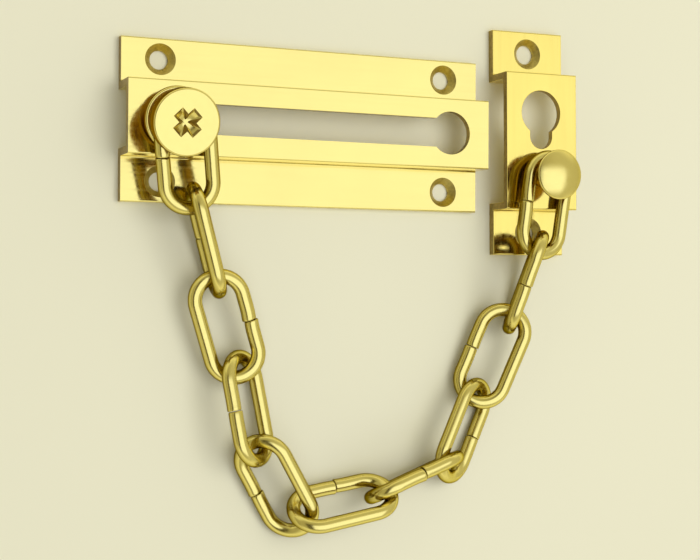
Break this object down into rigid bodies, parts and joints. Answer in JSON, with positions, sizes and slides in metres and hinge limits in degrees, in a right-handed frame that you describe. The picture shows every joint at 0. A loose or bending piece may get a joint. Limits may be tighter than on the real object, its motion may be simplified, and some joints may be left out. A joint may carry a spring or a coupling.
{
  "type": "door chain guard",
  "caption": "Surface-mounted door chain guard with a slotted track, a keyed slider, a bent-wire link chain and an anchor plate with a stud.",
  "frame": {"origin": "middle of the back of the track's upper flange, midway between its two screw holes", "axes": "+Z out of the plates' faces, +X along the track from the slider's rest end to its keyhole, +Y away from the chain"},
  "size_m": [0.1331, 0.1427, 0.0242],
  "materials": {
    "plate_brass": "bright polished brass with faint lengthwise polishing lines",
    "turned_brass": "mirror polished turned brass",
    "chain_brass": "polished brass-plated wire"
  },
  "bodies": {
    "track": {"track_plate": "plate_brass"},
    "slider": {"slider_foot": "turned_brass", "slider_collar": "turned_brass", "slider_screw": "turned_brass"},
    "link_01": {"chain_link_01": "chain_brass"},
    "link_02": {"chain_link_02": "chain_brass"},
    "link_03": {"chain_link_03": "chain_brass"},
    "link_04": {"chain_link_04": "chain_brass"},
    "link_05": {"chain_link_05": "chain_brass"},
    "link_06": {"chain_link_06": "chain_brass"},
    "link_07": {"chain_link_07": "chain_brass"},
    "link_08": {"chain_link_08": "chain_brass"},
    "link_09": {"chain_link_09": "chain_brass"},
    "link_10": {"chain_link_10": "chain_brass"},
    "link_11": {"chain_link_11": "chain_brass"},
    "anchor": {"anchor_plate": "plate_brass", "anchor_stud": "turned_brass"}
  },
  "joints": [
    {"name": "slider_travel", "type": "slide", "parent": "track", "child": "slider", "axis": [1, 0, 0], "range_m": [0, 0.08]},
    {"name": "link_01_swing", "type": "hinge", "parent": "slider", "child": "link_01", "pos_m": [-0.04, -0.016, 0.0092], "axis": [0, 0, 1], "range_deg": [-12, 2]},
    {"name": "link_02_swing", "type": "hinge", "parent": "link_01", "child": "link_02", "pos_m": [-0.035, -0.034, 0], "axis": [0, 0, 1], "range_deg": [-30, 8]},
    {"name": "link_03_swing", "type": "hinge", "parent": "link_02", "child": "link_03", "pos_m": [-0.027, -0.061, 0], "axis": [0, 0, 1], "range_deg": [-30, 5]},
    {"name": "link_04_swing", "type": "hinge", "parent": "link_03", "child": "link_04", "pos_m": [-0.02, -0.077, 0], "axis": [0, 0, 1], "range_deg": [-30, 3]},
    {"name": "link_05_swing", "type": "hinge", "parent": "link_04", "child": "link_05", "pos_m": [-0.014, -0.101, 0], "axis": [0, 0, 1], "range_deg": [-30, 2]},
    {"name": "link_06_swing", "type": "hinge", "parent": "link_05", "child": "link_06", "pos_m": [-0.005, -0.12, 0], "axis": [0, 0, 1], "range_deg": [-30, 1]},
    {"name": "link_07_swing", "type": "hinge", "parent": "link_06", "child": "link_07", "pos_m": [0.018, -0.114, 0], "axis": [0, 0, 1], "range_deg": [-25, 1]},
    {"name": "link_08_swing", "type": "hinge", "parent": "link_07", "child": "link_08", "pos_m": [0.04, -0.106, 0], "axis": [0, 0, 1], "range_deg": [-25, 1]},
    {"name": "link_09_swing", "type": "hinge", "parent": "link_08", "child": "link_09", "pos_m": [0.049, -0.088, 0], "axis": [0, 0, 1], "range_deg": [-30, 2]},
    {"name": "link_10_swing", "type": "hinge", "parent": "link_09", "child": "link_10", "pos_m": [0.06, -0.07, 0], "axis": [0, 0, 1], "range_deg": [-30, 3]},
    {"name": "link_11_swing", "type": "hinge", "parent": "link_10", "child": "link_11", "pos_m": [0.068, -0.044, 0], "axis": [0, 0, 1], "range_deg": [-30, 5]},
    {"name": "anchor_swing", "type": "hinge", "parent": "link_11", "child": "anchor", "pos_m": [0.0694, -0.0272, 0.0105], "axis": [0, 0, 1], "range_deg": [-20, 8]}
  ]
}
